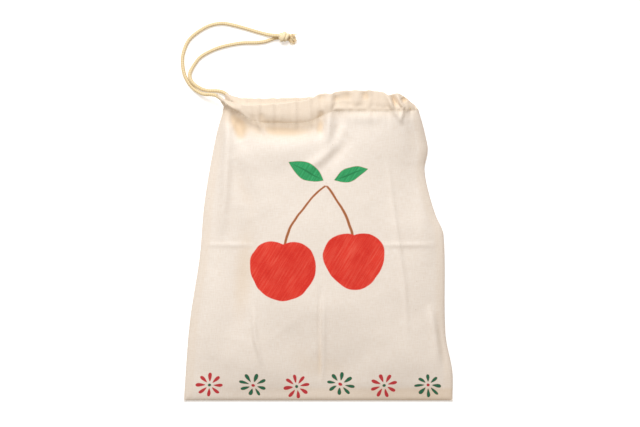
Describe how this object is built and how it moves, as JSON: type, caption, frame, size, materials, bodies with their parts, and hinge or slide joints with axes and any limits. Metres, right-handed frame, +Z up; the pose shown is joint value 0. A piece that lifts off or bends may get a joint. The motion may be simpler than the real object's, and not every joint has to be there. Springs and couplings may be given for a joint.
{
  "type": "drawstring bag",
  "caption": "Flat cotton drawstring bag with a hemmed mouth; a cord runs round inside the hem, leaves at a side slit, ends in a knot and gathers the mouth when pulled.",
  "frame": {"origin": "middle of the bag's underside as it lies on its back, where it meets the table", "axes": "+X to the bag's right side seen from above, +Y along the bag from its bottom seam towards its mouth, +Z up through the printed front"},
  "size_m": [0.263, 0.3669, 0.0209],
  "materials": {
    "cotton_cloth": "unbleached plain weave",
    "sewing_thread": "matt spun thread",
    "cotton_cord": "soft braid"
  },
  "bodies": {
    "bag": {"front_panel": "cotton_cloth", "back_panel": "cotton_cloth", "front_casing": "cotton_cloth", "back_casing": "cotton_cloth", "left_side_seam": "sewing_thread", "right_side_seam": "sewing_thread", "bottom_seam": "sewing_thread", "front_hem_stitching": "sewing_thread", "back_hem_stitching": "sewing_thread"},
    "left_mouth_end": {"left_casing_end_front": "cotton_cloth", "left_casing_end_back": "cotton_cloth", "exit_bartack_front": "sewing_thread", "exit_bartack_back": "sewing_thread"},
    "right_mouth_end": {"right_casing_end": "cotton_cloth"},
    "drawcord": {"drawcord_in_casing": "cotton_cord", "drawcord_outer_strand": "cotton_cord", "drawcord_inner_strand": "cotton_cord", "drawcord_knot": "cotton_cord", "drawcord_tail_outer": "cotton_cord", "drawcord_tail_inner": "cotton_cord"}
  },
  "joints": [
    {"name": "drawcord_pull", "type": "slide", "parent": "bag", "child": "drawcord", "axis": [-1, 0, 0], "range_m": [-0.012, 0.05]},
    {"name": "left_mouth_gather", "type": "slide", "parent": "bag", "child": "left_mouth_end", "axis": [1, 0, 0], "range_m": [-0.012, 0.05], "deforming": ["front_casing", "back_casing", "left_casing_end_front", "left_casing_end_back", "left_side_seam", "front_hem_stitching", "back_hem_stitching"]},
    {"name": "right_mouth_gather", "type": "slide", "parent": "bag", "child": "right_mouth_end", "axis": [-1, 0, 0], "range_m": [-0.012, 0.05], "deforming": ["right_side_seam"]}
  ],
  "couplings": [
    {"joint": "left_mouth_gather", "follows": "drawcord_pull", "ratio": 1},
    {"joint": "right_mouth_gather", "follows": "drawcord_pull", "ratio": 1}
  ]
}
